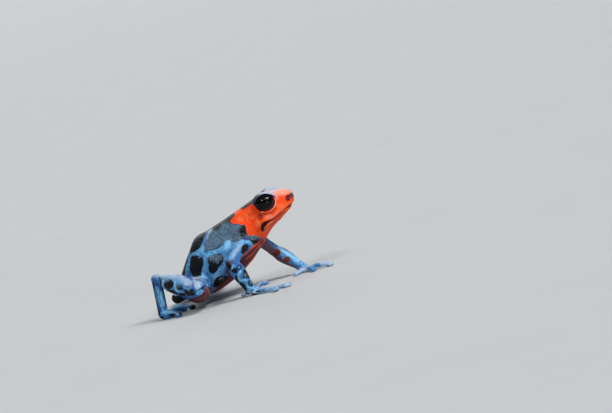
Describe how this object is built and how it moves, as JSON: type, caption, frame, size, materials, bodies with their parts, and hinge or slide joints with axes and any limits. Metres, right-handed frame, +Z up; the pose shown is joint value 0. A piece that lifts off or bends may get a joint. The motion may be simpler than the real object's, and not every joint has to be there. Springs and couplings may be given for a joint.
{
  "type": "blessed poison frog model",
  "caption": "Small poison frog sitting on all fours with its head raised: orange-red head, dark patterned body and spotted blue limbs.",
  "frame": {"origin": "middle of the model's box on the floor, under the belly", "axes": "+X the way the frog faces, +Y its left side, +Z up"},
  "size_m": [0.0208, 0.0188, 0.0117],
  "materials": {
    "head_skin": "moist orange-red skin",
    "body_skin": "moist granular blue-black skin with a light blue net",
    "limb_skin": "moist blue skin with black spots",
    "eye": "polished black"
  },
  "bodies": {
    "root": {"head": "head_skin", "torso": "body_skin", "eye_left": "eye", "eye_right": "eye", "upper_arm_left": "limb_skin", "upper_arm_right": "limb_skin", "forearm_left": "limb_skin", "forearm_right": "limb_skin", "hand_left": "limb_skin", "hand_right": "limb_skin", "thigh_left": "limb_skin", "thigh_right": "limb_skin", "shank_left": "limb_skin", "shank_right": "limb_skin", "tarsus_left": "limb_skin", "tarsus_right": "limb_skin", "foot_left": "limb_skin", "foot_right": "limb_skin"}
  },
  "joints": []
}
